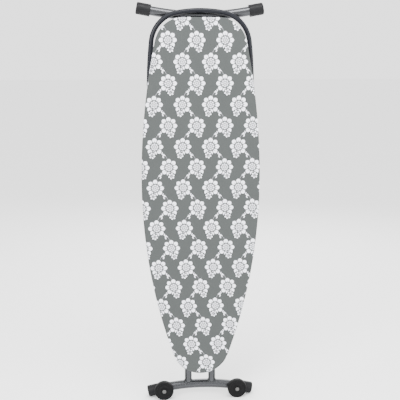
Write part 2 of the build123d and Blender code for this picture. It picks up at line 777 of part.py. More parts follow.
gusset_eye = eye_radius - 1
with BuildPart() as gussets:
    for x in (-gusset_x, gusset_x):
        with BuildSketch(at_side(x - gusset_thickness / 2)):
            with Locations((pivot_y, crossbar_z)):
                Circle(eye_radius)
            with Locations((leg_y, crossbar_z + gusset_eye / 2), (leg_y, gusset_top - gusset_eye)):
                Circle(gusset_eye)
            make_hull()
            with Locations((pivot_y, crossbar_z)):
                Circle(crossbar_radius, mode=Mode.SUBTRACT)
        extrude(amount=gusset_thickness)
finish(gussets.part, "tail_leg_gussets")

# --- crossbar: slides in the two height rails on nylon rollers -----------------------------------
roller_start = rail_x - roller_inside
roller_end = rail_x + rail_wall + roller_outside
crossbar_half = roller_end + crossbar_overhang
with BuildPart() as crossbar:
    with BuildSketch(Plane.YZ):
        with Locations((pivot_y, crossbar_z)):
            Circle(crossbar_radius)
    extrude(amount=crossbar_half, both=True)
finish(crossbar.part, "crossbar")

with BuildPart() as roller:
    with BuildSketch(at_side(roller_start)):
        with Locations((pivot_y, crossbar_z)):
            Circle(roller_flange_radius)
    extrude(amount=roller_inside - flange_gap)
    with BuildSketch(at_side(roller_start)):
        with Locations((pivot_y, crossbar_z)):
            Circle(roller_radius)
    extrude(amount=roller_end - roller_start)
    with BuildSketch(at_side(roller_start)):
        with Locations((pivot_y, crossbar_z)):
            Circle(crossbar_radius)
    extrude(amount=roller_end - roller_start, mode=Mode.SUBTRACT)
finish_pair(roller.part, "rail_roller")

with BuildPart() as clips:
    for side in (-1, 1):
        with BuildSketch(at_side(side * (roller_end + ear_side_gap))):
            with Locations((pivot_y, crossbar_z)):
                Circle(clip_radius)
                Circle(crossbar_radius, mode=Mode.SUBTRACT)
        extrude(amount=side * clip_thickness)
finish(clips.part, "crossbar_clips")

# --- carriage: pressed steel that rides on the crossbar and carries the lever --------------------
web_back = carriage_web_depth + carriage_web_thickness
cheek_fill = pivot_depth - carriage_web_depth
with BuildPart() as carriage:
    with BuildSketch(at_depth(web_back)):
        with Locations((0, (crossbar_z + lever_pivot_z) / 2)):
            Rectangle(2 * cheek_x, lever_pivot_drop + 2 * gusset_eye)
    extrude(amount=carriage_web_thickness)
    for side in (-1, 1):
        with BuildSketch(at_side(side * cheek_x)):
            with Locations((pivot_y, crossbar_z), (pivot_y, lever_pivot_z)):
                Circle(gusset_eye)
            with Locations((pivot_y - cheek_fill / 2, (crossbar_z + lever_pivot_z) / 2)):
                Rectangle(cheek_fill, lever_pivot_drop + 2 * gusset_eye)
            make_hull()
            with Locations((pivot_y, crossbar_z)):
                Circle(crossbar_radius + running_gap, mode=Mode.SUBTRACT)
            with Locations((pivot_y, lever_pivot_z)):
                Circle(lever_wire_radius + running_gap, mode=Mode.SUBTRACT)
        extrude(amount=side * cheek_thickness)
finish(carriage.part, "lever_carriage")

# --- lever spring: torsion coil on the crossbar --------------------------------------------------
spring_leg = pivot_depth - web_back - 2 * spring_wire_radius
with BuildPart() as spring:
    with BuildLine() as coil:
        coil_height = spring_turns * spring_pitch
        coil_end = (cheek_x - 2 * spring_wire_radius, pivot_y, crossbar_z)
        Helix(spring_pitch, coil_height, spring_coil_radius, center=coil_end, direction=(-1, 0, 0))
    coil_wire = coil.wire()
    for end, heading in ((coil_wire @ 0, coil_wire % 0), (coil_wire @ 1, (coil_wire % 1) * -1)):
        with BuildSketch(Plane(origin=end, z_dir=heading)):
            Circle(spring_wire_radius)
        extrude(amount=-spring_leg)
    with BuildSketch(Plane(origin=coil_wire @ 0, z_dir=coil_wire % 0)):
        Circle(spring_wire_radius)
    sweep(path=coil_wire, is_frenet=True)
finish(spring.part, "lever_spring")

# --- release lever: bent wire bail with a plastic grip -------------------------------------------
lever_z = lever_pivot_z - lever_length
stub_x = cheek_x + cheek_thickness + lever_stub
with BuildPart() as lever:
    with BuildLine():
        FilletPolyline(
            (-stub_x, pivot_y, lever_pivot_z),
            (-lever_arm_x, pivot_y, lever_pivot_z),
            (-lever_arm_x, pivot_y, lever_z),
            (lever_arm_x, pivot_y, lever_z),
            (lever_arm_x, pivot_y, lever_pivot_z),
            (stub_x, pivot_y, lever_pivot_z),
            radius=lever_bend,
        )
    with BuildSketch(Plane(origin=(-stub_x, pivot_y, lever_pivot_z), z_dir=(-1, 0, 0))):
        Circle(lever_wire_radius)
    sweep(transition=Transition.RIGHT)
finish(lever.part, "release_lever")

with BuildPart() as grip:
    with BuildSketch(Plane.YZ):
        with Locations((pivot_y, lever_z)):
            Circle(grip_radius)
            Circle(lever_wire_radius, mode=Mode.SUBTRACT)
    extrude(amount=grip_length / 2, both=True)
finish(grip.part, "lever_grip")
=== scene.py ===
"""Folding ironing board, folded and standing on its wheels. Metres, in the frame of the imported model."""
import bmesh
import bpy
from math import asin, atan2, ceil, cos, hypot, pi, radians, sin, sqrt
from mathutils import Matrix, Vector, kdtree, noise


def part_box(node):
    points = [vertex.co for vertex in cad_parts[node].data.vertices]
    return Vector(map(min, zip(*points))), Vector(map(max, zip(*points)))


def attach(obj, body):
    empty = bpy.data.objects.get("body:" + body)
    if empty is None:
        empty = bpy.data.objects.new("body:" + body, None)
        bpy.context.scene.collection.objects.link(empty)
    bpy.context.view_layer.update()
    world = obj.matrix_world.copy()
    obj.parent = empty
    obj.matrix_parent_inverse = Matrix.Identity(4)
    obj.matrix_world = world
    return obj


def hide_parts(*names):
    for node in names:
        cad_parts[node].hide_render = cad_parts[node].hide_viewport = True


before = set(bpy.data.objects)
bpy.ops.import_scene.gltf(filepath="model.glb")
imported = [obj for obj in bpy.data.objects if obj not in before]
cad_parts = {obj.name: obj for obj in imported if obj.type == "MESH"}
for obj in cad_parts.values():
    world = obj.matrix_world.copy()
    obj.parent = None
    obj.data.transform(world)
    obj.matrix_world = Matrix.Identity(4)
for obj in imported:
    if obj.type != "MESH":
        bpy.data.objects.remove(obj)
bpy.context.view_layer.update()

# ==== Camera ====================================================================================
# A camera on a stand, a little left of the board's middle and above it, looking slightly down.
VIEW_AZIMUTH = radians(-4.7)
VIEW_ELEVATION = radians(10.9)
VIEW_DISTANCE = 2.791
AIM_X = -0.0041
AIM_HEIGHT = 0.7983
LENS = 67.5
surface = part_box("ironing_cover")[0][1]
aim = Vector((AIM_X, surface, AIM_HEIGHT))
toward_camera = Vector((sin(VIEW_AZIMUTH) * cos(VIEW_ELEVATION), -cos(VIEW_AZIMUTH) * cos(VIEW_ELEVATION), sin(VIEW_ELEVATION)))
camera_data = bpy.data.cameras.new("camera")
camera_data.lens = LENS
camera = bpy.data.objects.new("camera", camera_data)
bpy.context.collection.objects.link(camera)
camera.location = aim + toward_camera * VIEW_DISTANCE
camera.rotation_euler = (-toward_camera).to_track_quat("-Z", "Y").to_euler()
bpy.context.scene.camera = camera


# ==== Studio ====================================================================================
# A white floor in white surroundings under broad soft lights, as for a catalogue picture.
def start_material(name, colour, roughness, metallic=0.0):
    """A node material; returns it with its node tree and its shader."""
    material = bpy.data.materials.new(name)
    material.use_nodes = True
    tree = material.node_tree
    shader = tree.nodes["Principled BSDF"]
    shader.inputs["Base Color"].default_value = (*colour, 1)
    shader.inputs["Roughness"].default_value = roughness
    shader.inputs["Metallic"].default_value = metallic
    return material, tree, shader


def new_piece(name, bm, material, smooth=radians(40)):
    """Makes a finished bmesh an object at the origin; edges sharper than smooth stay crisp."""
    mesh = bpy.data.meshes.new(name)
    bm.to_mesh(mesh)
    bm.free()
    mesh.materials.append(material)
    mesh.shade_smooth()
    mesh.set_sharp_from_angle(angle=smooth)
    piece = bpy.data.objects.new(name, mesh)
    bpy.context.collection.objects.link(piece)
    return piece


world = bpy.data.worlds.new("studio_air")
bpy.context.scene.world = world
world.use_nodes = True
world.node_tree.nodes["Background"].inputs["Color"].default_value = (1, 1, 1, 1)
world.node_tree.nodes["Background"].inputs["Strength"].default_value = 2.3

floor_paint, floor_tree, floor_shader = start_material("floor_paint", (0.93, 0.93, 0.93), 0.9)
floor_shader.inputs["Specular IOR Level"].default_value = 0.1
FLOOR_SIZE = 80
bm = bmesh.new()
bmesh.ops.create_grid(bm, x_segments=2, y_segments=2, size=FLOOR_SIZE / 2)
studio_floor = new_piece("studio_floor", bm, floor_paint)


def soft_light(name, place, target, width, power):
    """A square soft box at place, turned to face target."""
    lamp = bpy.data.lights.new(name, "AREA")
    lamp.size = width
    lamp.energy = power
    light = bpy.data.objects.new(name, lamp)
    bpy.context.collection.objects.link(light)
    light.location = place
    light.rotation_euler = (Vector(target) - Vector(place)).to_track_quat("-Z", "Y").to_euler()


soft_light("key_light", (-1.8, -2.6, 2.6), (0, 0, 0.8), 1.6, 150)
soft_light("top_light", (0.1, -1.1, 2.9), (0, 0, 0.8), 0.9, 50)
soft_light("fill_light", (2.4, -2.0, 1.6), (0, 0, 0.7), 2.0, 75)
soft_light("back_light", (0.6, 2.6, 2.4), (0, 0, 0.8), 2.2, 90)


# ==== Cover =====================================================================================
# Cotton cloth printed with white flowers on grey green, pulled over the padding and rim.
# Its edge is rounded by the foam under it, and its hem is gathered behind the rim.
TAIL_WIDTH = 0.292
WIDEST_FROM_TAIL = 0.600
TAIL_CORNER = 0.105
NOSE_RADIUS = 0.110
cover_low, cover_high = (Vector(corner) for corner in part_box("ironing_cover"))
HALF_BOARD = (cover_high.x - cover_low.x) / 2
WIDEST_Z = cover_high.z - WIDEST_FROM_TAIL
tail_dip = HALF_BOARD - TAIL_WIDTH / 2
TAIL_SIDE = (WIDEST_FROM_TAIL**2 + tail_dip**2) / (2 * tail_dip)
nose_run = WIDEST_Z - cover_low.z
NOSE_SIDE = (HALF_BOARD**2 + (nose_run - NOSE_RADIUS) ** 2 - NOSE_RADIUS**2) / (2 * (HALF_BOARD - NOSE_RADIUS))
corner_rise = cover_high.z - TAIL_CORNER - WIDEST_Z
corner_x = HALF_BOARD - TAIL_SIDE + sqrt((TAIL_SIDE - TAIL_CORNER) ** 2 - corner_rise**2)
tail_side_end = asin(corner_rise / (TAIL_SIDE - TAIL_CORNER))
nose_side_end = -asin((nose_run - NOSE_RADIUS) / (NOSE_SIDE - NOSE_RADIUS))
EDGE_ARCS = (
    (Vector((corner_x, 0, cover_high.z - TAIL_CORNER)), TAIL_CORNER, pi / 2, tail_side_end),
    (Vector((HALF_BOARD - TAIL_SIDE, 0, WIDEST_Z)), TAIL_SIDE, tail_side_end, 0),
    (Vector((HALF_BOARD - NOSE_SIDE, 0, WIDEST_Z)), NOSE_SIDE, 0, nose_side_end),
    (Vector((0, 0, cover_low.z + NOSE_RADIUS)), NOSE_RADIUS, nose_side_end, -pi / 2),
)


def board_edge(step):
    """Points round the board's edge from the tail's middle, clockwise seen from the front, each with the way out."""
    half = []
    straight = ceil(corner_x / step)
    for i in range(straight):
        half.append((Vector((corner_x * i / straight, 0, cover_high.z)), Vector((0, 0, 1))))
    for centre, radius, start, end in EDGE_ARCS:
        count = ceil(radius * abs(end - start) / step)
        for i in range(count):
            angle = start + (end - start) * i / count
            out = Vector((cos(angle), 0, sin(angle)))
            half.append((centre + out * radius, out))
    tip = (Vector((0, 0, cover_low.z)), Vector((0, 0, -1)))
    other = [(Vector((-p.x, 0, p.z)), Vector((-n.x, 0, n.z))) for p, n in reversed(half[1:])]
    return half + [tip] + other


EDGE_STEP = 0.006
GRID_STEP = 0.020
PUCKER_LENGTH = 0.021
# each ring: how far in from the edge, how deep, how far along the cloth from the front edge, gather height
COVER_RINGS = (
    (0.0042, 0.0000, 0.000, 0.0000),
    (0.0018, 0.0006, 0.003, 0.0000),
    (0.0004, 0.0022, 0.005, 0.0000),
    (0.0000, 0.0050, 0.008, 0.0002),
    (0.0001, 0.0095, 0.012, 0.0004),
    (0.0006, 0.0135, 0.016, 0.0006),
    (0.0022, 0.0158, 0.019, 0.0007),
    (0.0060, 0.0159, 0.023, 0.0006),
    (0.0120, 0.0159, 0.029, 0.0010),
    (0.0170, 0.0158, 0.034, 0.0012),
    (0.0215, 0.0158, 0.039, 0.0013),
    (0.0250, 0.0157, 0.042, 0.0010),
)
edge = board_edge(EDGE_STEP)
bm = bmesh.new()
place_layer = bm.verts.layers.float_vector.new("print_place")


def ring_point(i, inset, depth, gather):
    """Where ring point i lies; gathers swell the hem backwards in uneven puckers."""
    point, out = edge[i]
    run = i * EDGE_STEP
    wander = noise.noise(Vector((run * 9, depth * 40, 3.1)))
    wave = 0.5 + 0.5 * sin(2 * pi * run / PUCKER_LENGTH + 5 * wander)
    swell = gather * wave * (0.7 + 0.6 * noise.noise(Vector((run * 31, 1.7, 0))))
    lean = inset + 0.6 * swell if depth > 0.012 else inset - 0.3 * swell
    return Vector((point.x - out.x * lean, surface + depth + (swell if depth > 0.012 else 0), point.z - out.z * lean))


ring = [bm.verts.new(ring_point(i, *COVER_RINGS[0][:2], 0)) for i in range(len(edge))]
front_face = bm.faces.new(ring)
for vert in ring:
    vert[place_layer] = vert.co
for inset, depth, along, gather in COVER_RINGS[1:]:
    order = {tuple(vert.co): i for i, vert in enumerate(ring)}
    ring_edges = [bm.edges.get((ring[i - 1], ring[i])) for i in range(len(ring))]
    grown = bmesh.ops.extrude_edge_only(bm, edges=ring_edges)["geom"]
    fresh = [v for v in grown if isinstance(v, bmesh.types.BMVert)]
    ring = [None] * len(edge)
    for vert in fresh:
        i = order[tuple(vert.co)]
        ring[i] = vert
    for i, vert in enumerate(ring):
        point, out = edge[i]
        vert.co = ring_point(i, inset, depth, gather)
        vert[place_layer] = point + out * (along - COVER_RINGS[0][0])
for axis, low, high in ((0, -HALF_BOARD, HALF_BOARD), (2, cover_low.z, cover_high.z)):
    cuts = int((high - low) / GRID_STEP)
    for i in range(1, cuts + 1):
        spot = Vector((0, 0, 0))
        spot[axis] = low + (high - low) * i / (cuts + 1)
        across = Vector((0, 0, 0))
        across[axis] = 1
        front = [f for f in bm.faces if abs(f.normal.y) > 0.999 and f.calc_center_median().y < surface + 1e-4]
        geom = front + list({e for f in front for e in f.edges}) + list({v for f in front for v in f.verts})
        bmesh.ops.bisect_plane(bm, geom=geom, dist=1e-5, plane_co=spot, plane_no=across)
bmesh.ops.recalc_face_normals(bm, faces=bm.faces)
FOAM_FALL = 0.0011
FOAM_REACH = 0.010
rim_points = [point for point, out in edge]
for vert in bm.verts:
    if vert.co.y < surface + 1e-5:
        vert[place_layer] = (vert.co.x, 0, vert.co.z)
        inward = min(hypot(vert.co.x - p.x, vert.co.z - p.z) for p in rim_points)
        ripple = noise.noise(Vector((vert.co.x * 9, 0.4, vert.co.z * 6))) * 0.0007
        fall = FOAM_FALL * 2.718 ** (-(inward - COVER_RINGS[0][0]) / FOAM_REACH)
        vert.co.y += max(0, fall * 0.45 + ripple * min(1, inward / 0.03) + 0.0002)


def calc(tree, operation, *values):
    """A Math node on numbers or sockets; returns its result."""
    node = tree.nodes.new("ShaderNodeMath")
    node.operation = operation
    for socket, value in zip(node.inputs, values):
        if isinstance(value, bpy.types.NodeSocket):
            tree.links.new(value, socket)
        else:
            socket.default_value = value
    return node.outputs[0]


def soft_step(tree, value, blur):
    """0 below zero and 1 above, over a short ramp of width blur."""
    ramp = calc(tree, "MULTIPLY_ADD", value, 1 / blur, 0.5)
    return calc(tree, "MINIMUM", calc(tree, "MAXIMUM", ramp, 0.0), 1.0)


def petals(tree, x, z, count, turn, middle, half_length, half_width):
    """Mask of pointed petals set round a flower's centre."""
    sector = 2 * pi / count
    angle = calc(tree, "ADD", calc(tree, "ARCTAN2", z, x), turn + 4 * pi)
    folded = calc(tree, "SUBTRACT", calc(tree, "MODULO", angle, sector), sector / 2)
    reach = calc(tree, "SQRT", calc(tree, "ADD", calc(tree, "MULTIPLY", x, x), calc(tree, "MULTIPLY", z, z)))
    along = calc(tree, "MULTIPLY", reach, calc(tree, "COSINE", folded))
    across = calc(tree, "ABSOLUTE", calc(tree, "MULTIPLY", reach, calc(tree, "SINE", folded)))
    run = calc(tree, "DIVIDE", calc(tree, "SUBTRACT", along, middle), half_length)
    taper = calc(tree, "MULTIPLY_ADD", run, 0.02, 1.0)
    side = calc(tree, "DIVIDE", across, calc(tree, "MULTIPLY", taper, half_width))
    shape = calc(tree, "ADD", calc(tree, "MULTIPLY", run, run), calc(tree, "POWER", side, 1.45))
    vein_run = calc(tree, "COMPARE", along, middle - half_length * 0.45, half_length * 0.4)
    vein = calc(tree, "MULTIPLY", vein_run, soft_step(tree, calc(tree, "SUBTRACT", 0.0006, across), 0.0006))
    body = soft_step(tree, calc(tree, "SUBTRACT", 1.0, shape), 0.10)
    return calc(tree, "MULTIPLY", body, calc(tree, "SUBTRACT", 1.0, vein)), reach, angle


def ring_line(tree, reach, angle, count, radius, scallop, half_line):
    """Mask of a thin scalloped ring."""
    lobes = calc(tree, "ABSOLUTE", calc(tree, "SINE", calc(tree, "MULTIPLY", angle, count / 2)))
    off = calc(tree, "ABSOLUTE", calc(tree, "SUBTRACT", reach, calc(tree, "MULTIPLY_ADD", lobes, scallop, radius)))
    return soft_step(tree, calc(tree, "SUBTRACT", half_line, off), 0.0008)


def shifted(tree, x, z, centre_x, centre_z):
    """Coordinates counted from another centre."""
    return calc(tree, "SUBTRACT", x, centre_x), calc(tree, "SUBTRACT", z, centre_z)


def curl(tree, x, z, centre_x, centre_z, radius, gap_angle):
    """Mask of an open curl: a thick ring with a gap towards gap_angle."""
    px, pz = shifted(tree, x, z, centre_x, centre_z)
    reach = calc(tree, "SQRT", calc(tree, "ADD", calc(tree, "MULTIPLY", px, px), calc(tree, "MULTIPLY", pz, pz)))
    ring = calc(tree, "SUBTRACT", 0.0016, calc(tree, "ABSOLUTE", calc(tree, "SUBTRACT", reach, radius)))
    toward = calc(tree, "ADD", calc(tree, "MULTIPLY", px, cos(gap_angle)), calc(tree, "MULTIPLY", pz, sin(gap_angle)))
    open_side = soft_step(tree, calc(tree, "SUBTRACT", toward, radius * 0.35), 0.001)
    return calc(tree, "MULTIPLY", soft_step(tree, ring, 0.0008), calc(tree, "SUBTRACT", 1.0, open_side))


COLUMN_PITCH = 0.103
ROW_PITCH = 0.1531
FLOWER_RADIUS = 0.0318
BUD_PLACE = (0.0090, -0.0320)
BUD_CLEARING = 0.0145
CURL_PLACES = ((-0.0310, -0.0245, 0.0040, 2.4), (-0.0350, -0.0355, 0.0046, -2.6))
STEM_START = (-0.0395, -0.0330)
STEM_WAY = (-0.51, -0.86)
STEM_LENGTH = 0.019


def motif(tree, x, z):
    """Mask of one flower with its bud, curls and stem, counted from the flower's centre."""
    outer, reach, angle = petals(
        tree, x, z, 8, pi / 8, FLOWER_RADIUS * 0.735, FLOWER_RADIUS * 0.265, FLOWER_RADIUS * 0.25
    )
    heart = soft_step(tree, calc(tree, "SUBTRACT", FLOWER_RADIUS * 0.46, reach), 0.0012)
    lace = calc(
        tree,
        "MAXIMUM",
        ring_line(tree, reach, angle, 8, FLOWER_RADIUS * 0.385, FLOWER_RADIUS * 0.10, 0.0025),
        calc(
            tree,
            "MAXIMUM",
            ring_line(tree, reach, angle, 7, FLOWER_RADIUS * 0.17, FLOWER_RADIUS * 0.09, 0.0020),
            ring_line(tree, reach, angle, 5, FLOWER_RADIUS * 0.03, FLOWER_RADIUS * 0.04, 0.0014),
        ),
    )
    flower_body = calc(tree, "MULTIPLY", calc(tree, "MAXIMUM", outer, heart), calc(tree, "MULTIPLY_ADD", lace, -0.9, 1.0))
    bx, bz = shifted(tree, x, z, *BUD_PLACE)
    bud, bud_reach, _ = petals(tree, bx, bz, 6, 0.2, 0.0080, 0.0040, 0.0031)
    bud_heart = soft_step(tree, calc(tree, "SUBTRACT", 0.0012, bud_reach), 0.0008)
    beyond_bud = soft_step(tree, calc(tree, "SUBTRACT", bud_reach, BUD_CLEARING), 0.001)
    flower = calc(tree, "MULTIPLY", flower_body, beyond_bud)
    total = calc(tree, "MAXIMUM", flower, calc(tree, "MAXIMUM", bud, bud_heart))
    for centre_x, centre_z, radius, gap in CURL_PLACES:
        total = calc(tree, "MAXIMUM", total, curl(tree, x, z, centre_x, centre_z, radius, gap))
    sx, sz = shifted(tree, x, z, *STEM_START)
    run = calc(tree, "ADD", calc(tree, "MULTIPLY", sx, STEM_WAY[0]), calc(tree, "MULTIPLY", sz, STEM_WAY[1]))
    off = calc(tree, "ABSOLUTE", calc(tree, "SUBTRACT", calc(tree, "MULTIPLY", sx, STEM_WAY[1]), calc(tree, "MULTIPLY", sz, STEM_WAY[0])))
    stem = calc(
        tree,
        "MULTIPLY",
        calc(tree, "COMPARE", run, STEM_LENGTH / 2, STEM_LENGTH / 2),
        soft_step(tree, calc(tree, "SUBTRACT", 0.0004, off), 0.0006),
    )
    return calc(tree, "MAXIMUM", total, calc(tree, "MULTIPLY", stem, 0.4))


def cell(tree, value, pitch, shift):
    """Folds a coordinate into one repeat of the print, counted from its middle."""
    moved = calc(tree, "ADD", value, pitch / 2 + 40 * pitch - shift)
    return calc(tree, "SUBTRACT", calc(tree, "MODULO", moved, pitch), pitch / 2)


PRINT_X = -0.0163
PRINT_TOP = 1.3807
DRIFT = 0.038
DRIFT_START = 1.000
DRIFT_RUN = 0.85
GROUND = (0.034, 0.038, 0.037)
PETAL_WHITE = (0.93, 0.94, 0.97)
cotton, tree, shader = start_material("printed_cotton", GROUND, 0.88)
shader.inputs["Sheen Weight"].default_value = 0.15
shader.inputs["Sheen Roughness"].default_value = 0.5
place = tree.nodes.new("ShaderNodeAttribute")
place.attribute_name = "print_place"
split = tree.nodes.new("ShaderNodeSeparateXYZ")
tree.links.new(place.outputs["Vector"], split.inputs[0])
fallen = calc(tree, "MAXIMUM", calc(tree, "SUBTRACT", DRIFT_START, split.outputs["Z"]), 0.0)
share = calc(tree, "DIVIDE", fallen, DRIFT_RUN)
drift = calc(tree, "MULTIPLY", calc(tree, "MULTIPLY", share, share), DRIFT)
print_x = calc(tree, "SUBTRACT", split.outputs["X"], drift)
across_a = cell(tree, print_x, COLUMN_PITCH, PRINT_X)
up_a = cell(tree, split.outputs["Z"], ROW_PITCH, PRINT_TOP)
across_b = calc(tree, "MULTIPLY", cell(tree, print_x, COLUMN_PITCH, PRINT_X + COLUMN_PITCH / 2), -1.0)
up_b = cell(tree, split.outputs["Z"], ROW_PITCH, PRINT_TOP + ROW_PITCH / 2)
flowers = calc(tree, "MAXIMUM", motif(tree, across_a, up_a), motif(tree, across_b, up_b))


def noise_texture(tree, vector, scale, detail=2.0):
    """A Noise Texture on a vector; returns its grey value."""
    node = tree.nodes.new("ShaderNodeTexNoise")
    node.inputs["Scale"].default_value = scale
    node.inputs["Detail"].default_value = detail
    if vector is not None:
        tree.links.new(vector, node.inputs["Vector"])
    return node.outputs["Fac"]


def blend_colours(tree, factor, first, second):
    """Mixes two colours or sockets by a factor; returns the colour."""
    node = tree.nodes.new("ShaderNodeMix")
    node.data_type = "RGBA"
    for socket, value in ((node.inputs[0], factor), (node.inputs[6], first), (node.inputs[7], second)):
        if isinstance(value, bpy.types.NodeSocket):
            tree.links.new(value, socket)
        else:
            socket.default_value = (*value, 1) if hasattr(value, "__len__") else value
    return node.outputs[2]


def add_bump(tree, shader, height, strength, distance):
    """Feeds a height to the shader's normal through a Bump node."""
    bump = tree.nodes.new("ShaderNodeBump")
    bump.inputs["Strength"].default_value = strength
    bump.inputs["Distance"].default_value = distance
    tree.links.new(height, bump.inputs["Height"])
    tree.links.new(bump.outputs["Normal"], shader.inputs["Normal"])


GROUND_WORN = (0.027, 0.031, 0.031)
PETAL_SHADE = (0.76, 0.77, 0.87)
THREAD_PITCH = 0.0009
mottle = noise_texture(tree, place.outputs["Vector"], 220, 3)
ground_colour = blend_colours(tree, mottle, GROUND_WORN, (0.042, 0.047, 0.045))
petal_colour = blend_colours(tree, noise_texture(tree, place.outputs["Vector"], 160, 2), PETAL_SHADE, PETAL_WHITE)
tree.links.new(blend_colours(tree, flowers, ground_colour, petal_colour), shader.inputs["Base Color"])
warp = calc(tree, "SINE", calc(tree, "MULTIPLY", split.outputs["X"], 2 * pi / THREAD_PITCH))
weft = calc(tree, "SINE", calc(tree, "MULTIPLY", split.outputs["Z"], 2 * pi / THREAD_PITCH))
add_bump(tree, shader, calc(tree, "MULTIPLY", warp, weft), 0.25, 0.0002)

cover = new_piece("cotton_cover", bm, cotton, radians(60))
thick = cover.modifiers.new("thickness", "SOLIDIFY")
thick.thickness = 0.0008
thick.offset = -1
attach(cover, "board")
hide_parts("ironing_cover", "cover_edge", "cover_hem_tail", "cover_hem_corner_left", "cover_hem_corner_right",
            "cover_hem_upper_left", "cover_hem_upper_right", "cover_hem_side_left", "cover_hem_side_right",
            "cover_hem_nose")

STITCH_RING = COVER_RINGS[-2]
STITCH_EVERY = 1
STITCH_SIZE = (0.0036, 0.0007, 0.0008)
thread, thread_tree, thread_shader = start_material("hem_thread", (0.10, 0.105, 0.10), 0.75)
thread_place = thread_tree.nodes.new("ShaderNodeTexCoord").outputs["Object"]
thread_shade = noise_texture(thread_tree, thread_place, 900, 2)
thread_tree.links.new(blend_colours(thread_tree, thread_shade, (0.06, 0.065, 0.06), (0.15, 0.155, 0.15)), thread_shader.inputs["Base Color"])
add_bump(thread_tree, thread_shader, thread_shade, 0.4, 0.0002)
bm = bmesh.new()
for i in range(0, len(edge), STITCH_EVERY):
    here = ring_point(i, *STITCH_RING[:2], STITCH_RING[3])
    after = ring_point((i + 1) % len(edge), *STITCH_RING[:2], STITCH_RING[3])
    middle = (here + after) / 2 + Vector((0, 0.0004, 0))
    along = (after - here).normalized()
    turn = along.to_track_quat("X", "Y").to_matrix().to_4x4()
    stitch_place = Matrix.Translation(middle) @ turn @ Matrix.Diagonal((*STITCH_SIZE, 1))
    bmesh.ops.create_icosphere(bm, subdivisions=1, radius=0.6, matrix=stitch_place)
hem_stitches = new_piece("hem_stitches", bm, thread)
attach(hem_stitches, "board")


# ==== Padding ===================================================================================
# A pad of grey needled felt under the cotton, cut to the board's outline.
# It lies loose on the mesh and is held by the cover pulled over it.
pad_low, pad_high = (Vector(corner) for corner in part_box("padding"))
PAD_INSET = cover_high.z - pad_high.z
PAD_ROUNDING = 0.0016
bm = bmesh.new()
outline = [bm.verts.new((p.x - n.x * PAD_INSET, pad_low.y, p.z - n.z * PAD_INSET)) for p, n in board_edge(0.012)]
pad_front = bm.faces.new(outline)
grown = bmesh.ops.extrude_face_region(bm, geom=[pad_front])["geom"]
pad_back = [v for v in grown if isinstance(v, bmesh.types.BMVert)]
bmesh.ops.translate(bm, verts=pad_back, vec=(0, pad_high.y - pad_low.y, 0))
bmesh.ops.recalc_face_normals(bm, faces=bm.faces)
corners = [e for e in bm.edges if abs(e.verts[0].co.y - e.verts[1].co.y) < 1e-6]
bmesh.ops.bevel(bm, geom=corners, offset=PAD_ROUNDING, affect="EDGES", segments=3, profile=0.5, material=-1)
felt, tree, shader = start_material("needled_felt", (0.10, 0.10, 0.098), 0.95)
shader.inputs["Specular IOR Level"].default_value = 0.15
shader.inputs["Sheen Weight"].default_value = 0.3
place = tree.nodes.new("ShaderNodeTexCoord").outputs["Object"]
clumps = noise_texture(tree, place, 60, 4)
fibres = noise_texture(tree, place, 900, 3)
felt_tone = calc(tree, "MULTIPLY_ADD", fibres, 0.5, calc(tree, "MULTIPLY", clumps, 0.5))
tree.links.new(blend_colours(tree, felt_tone, (0.055, 0.056, 0.056), (0.16, 0.16, 0.155)), shader.inputs["Base Color"])
add_bump(tree, shader, fibres, 0.6, 0.0006)
padding = new_piece("padding_felt", bm, felt)
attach(padding, "board")
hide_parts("padding")


# ==== Mesh top ==================================================================================
# Expanded steel sheet, slit and stretched into diamonds, painted with the rest of the top.
# It is welded inside the rim, and the padding lies on it.
DIAMOND_WIDTH = 0.026
DIAMOND_HEIGHT = 0.0112
STRAND = 0.0015
CELLS = 150
mesh_low, mesh_high = (Vector(corner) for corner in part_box("mesh_top"))
mesh_edge = board_edge(0.004)
MESH_INSET = cover_high.z - mesh_high.z + 0.0006
finder = kdtree.KDTree(len(mesh_edge))
for i, (point, out) in enumerate(mesh_edge):
    finder.insert(point, i)
finder.balance()


def past_outline(place):
    """How far a place lies outside the sheet's outline, and the way out there."""
    near, i, _ = finder.find(Vector((place.x, 0, place.z)))
    out = mesh_edge[i][1]
    return (Vector((place.x, 0, place.z)) - near).dot(out) + MESH_INSET, out


bm = bmesh.new()
bmesh.ops.create_grid(bm, x_segments=CELLS, y_segments=CELLS, size=CELLS / 2)
sheet_middle = Vector((0, mesh_low.y, (mesh_low.z + mesh_high.z) / 2))
stretch = Matrix.Diagonal((DIAMOND_WIDTH / sqrt(2), 1, DIAMOND_HEIGHT / sqrt(2), 1))
to_sheet = Matrix.Translation(sheet_middle) @ stretch @ Matrix.Rotation(pi / 2, 4, "X") @ Matrix.Rotation(pi / 4, 4, "Z")
bmesh.ops.transform(bm, matrix=to_sheet, verts=bm.verts)
outside = [f for f in bm.faces if past_outline(f.calc_center_median())[0] > 0]
bmesh.ops.delete(bm, geom=outside, context="FACES")
for vert in bm.verts:
    for _ in range(2):
        excess, out = past_outline(vert.co)
        if excess > 0:
            vert.co -= out * excess
bmesh.ops.dissolve_degenerate(bm, dist=1e-5, edges=bm.edges)
before = set(bm.faces)
bmesh.ops.inset_individual(bm, faces=list(bm.faces), thickness=STRAND / 2, use_even_offset=True)
bmesh.ops.delete(bm, geom=list(before), context="FACES")
strand_wall = mesh_high.y - mesh_low.y
bmesh.ops.recalc_face_normals(bm, faces=bm.faces)
paint, tree, shader = start_material("charcoal_paint", (0.010, 0.011, 0.014), 0.3)
shader.inputs["Specular IOR Level"].default_value = 0.2
place = tree.nodes.new("ShaderNodeTexCoord").outputs["Object"]
orange_peel = noise_texture(tree, place, 420, 2)
drift_tone = noise_texture(tree, place, 7, 3)
